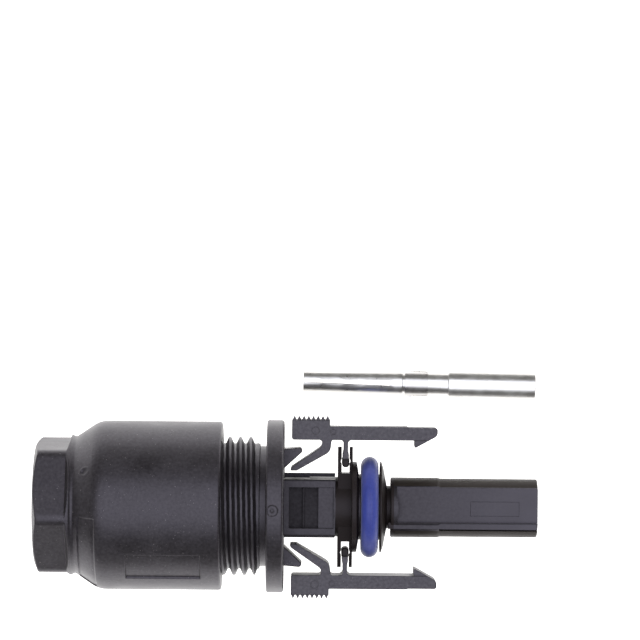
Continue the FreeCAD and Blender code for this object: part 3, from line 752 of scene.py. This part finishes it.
def plate(outline, half_width, chamfer):
    """Points and faces of an outline pushed through its width, chamfered at both ends."""
    following = np.roll(outline, -1, 0)
    area = np.sum(outline[:, 0] * following[:, 1] - following[:, 0] * outline[:, 1])
    if area < 0:
        outline = outline[::-1]
    inner = drawn_in(outline, chamfer)
    edge_z = half_width - chamfer
    layers = ((inner, -half_width), (outline, -edge_z), (outline, edge_z), (inner, half_width))
    count = len(outline)
    points = [(x, y, z) for layer, z in layers for x, y in layer]
    faces = [tuple(range(count))[::-1], tuple(range(3 * count, 4 * count))]
    for start in (0, count, 2 * count):
        for i in range(count):
            k = (i + 1) % count
            faces.append((start + i, start + k, start + count + k, start + count + i))
    return points, faces


def ring(centre, z, radius, thickness, steps=28, sides=6):
    """Points and faces of a thin ring that lies flat, half sunk, at this height."""
    points = []
    for i in range(steps):
        turn = 2 * math.pi * i / steps
        for j in range(sides):
            section = 2 * math.pi * j / sides
            reach = radius + thickness * math.cos(section)
            points.append((centre[0] + reach * math.cos(turn), centre[1] + reach * math.sin(turn),
                           z + thickness * math.sin(section)))
    faces = []
    for i in range(steps):
        for j in range(sides):
            here, after = i * sides, (i + 1) % steps * sides
            k = (j + 1) % sides
            faces.append((here + j, after + j, after + k, here + k))
    return points, faces


def joined(name, shells):
    """One mesh from several closed shells."""
    points = []
    faces = []
    for shell_points, shell_faces in shells:
        faces += [tuple(index + len(points) for index in face) for face in shell_faces]
        points += shell_points
    mesh = bpy.data.meshes.new(name)
    mesh.from_pydata([tuple(float(v) * MM for v in point) for point in points], [], faces)
    mesh.validate()
    return mesh


def mirrored(outline, side):
    return outline * np.array([1, side])


# %% [markdown]
# ## Ramps on the flange
# Behind each latch arm the flange carries a ramp. The arm's folded spring rests on it.

# %% Ramps on the flange
ramp_outline = rounded([(-0.3, 5.7), (0.1, 5.7), (2.72, 8.12, 0.3), (2.35, 8.6, 0.3), (-0.3, 8.38)])
ramps = joined("flange_ramps", [plate(mirrored(ramp_outline, side), 3.0, 0.1) for side in (1, -1)])
finished("flange_ramps", ramps, black_polyamide, "housing", "threaded_housing", 30)

# %% [markdown]
# ## Latch arms
# A latch arm is a rocker. The thumb presses the toothed pad, the stem rocks in its fork and the hook in
# front lets go of the mating half. The spring is a leaf folded back from the pad to the flange. One
# outline holds the pad with its eight teeth, the bar, the hook's slope, the stem with rounded roots and
# the leaf. The hook's tip is a little narrower, and the stem ends in a short round-edged foot. Thin
# rings on the upper side are the marks of the pins that push the moulding out.

# %% Latch arms
pad_rear = 1.08
pad_front = 6.58
pad_y = 12.6
tooth_count = 8
tooth_pitch = (pad_front - pad_rear) / tooth_count
tooth_top = pad_y + 0.6
tooth_round = 0.07
bar_inner = 9.75
bar_outer = 11.7
stem_rear = 8.55
stem_front = 9.2
foot_rear = 8.425
foot_front = 9.325
foot_top = 7.633
foot_low = 7.033
slope_x = 20.85
nose_front = 22.105
arm_corners = [
    (pad_rear, bar_inner, 0.35), (5.44, bar_inner, 0.4), (5.44, 8.82, 0.9), (1.07, 5.8, 0.16),
    (0.82, 5.3, 0.16), (1.82, 5.3, 0.5), (6.63, 8.06, 1.3), (6.83, bar_inner, 0.3),
    (stem_rear, bar_inner, 0.5), (stem_rear, 8.233, 0.5), (foot_rear, foot_top), (foot_rear, foot_low),
    (foot_front, foot_low), (foot_front, foot_top), (stem_front, 8.233, 0.5), (stem_front, bar_inner, 0.5),
    (slope_x, bar_inner), (nose_front, 10.446, 0.8), (nose_front, bar_outer - 0.1, 0.35),
    (17.905, bar_outer - 0.1), (17.805, bar_outer), (pad_front, bar_outer, 0.1),
    (pad_front, pad_y, tooth_round),
]
for i in reversed(range(tooth_count)):
    root_x = pad_rear + tooth_pitch * i
    arm_corners.append((root_x + tooth_pitch * 0.88, pad_y, tooth_round))
    arm_corners.append((root_x + tooth_pitch * 0.5, tooth_top, tooth_round))
    arm_corners.append((root_x + tooth_pitch * 0.12, pad_y, tooth_round))
arm_corners.append((pad_rear, pad_y, 0.05))
arm_outline = rounded(arm_corners, 5)
hook_outline = rounded([(18.775, 10.1), (18.775, 8.6, 0.175), (slope_x, bar_inner), (slope_x, 10.1)])
foot_outline = rounded([(8.335, 5.8, 0.5), (9.415, 5.8, 0.5), (9.415, 7.35, 0.5), (8.335, 7.35, 0.5)])
ARM_HALF = 3.0
for side, body, node in ((1, "left_latch", "latch_arm_left"), (-1, "right_latch", "latch_arm_right")):
    shells = [
        plate(mirrored(arm_outline, side), ARM_HALF, 0.05),
        plate(mirrored(hook_outline, side), ARM_HALF - 0.25, 0.05),
        plate(mirrored(foot_outline, side), 2.3, 0.18),
        ring((4.5, 11.1 * side), ARM_HALF, 0.55, 0.03),
        ring((7.0, 10.9 * side), ARM_HALF, 0.4, 0.025),
    ]
    arm_mesh = joined(f"{body}_skin", shells)
    finished(f"{body}_skin", arm_mesh, latch_polyamide, body, node, 30)

# %% [markdown]
# ## Sealing ring
# The ring is a plain silicone O-ring. Its mould closes along its widest circle and leaves a fine flash
# line there, which a torus primitive lacks. The grid adds it as a small rise of the section's radius.

# %% Sealing ring
ring_x = 12.362
ring_sweep_r = 6.03
ring_section_r = 1.26
FLASH_RISE = 0.035
ring_turns = np.arange(0, 360, 2.5)
ring_stations = []
for degrees in np.union1d(np.arange(0, 360, 6.0), np.arange(82, 98.1, 2.0))[::-1]:
    rise = FLASH_RISE * math.exp(-((degrees - 90) / 3) ** 2)
    section = math.radians(degrees)
    radius = ring_sweep_r + (ring_section_r + rise) * math.sin(section)
    ring_stations.append((ring_x + ring_section_r * math.cos(section), np.full(len(ring_turns), radius)))
ring_mesh = closed_grid("sealing_ring_skin", ring_stations, ring_turns)
finished("sealing_ring_skin", ring_mesh, blue_silicone, "housing", "nose_seal_ring", 60)
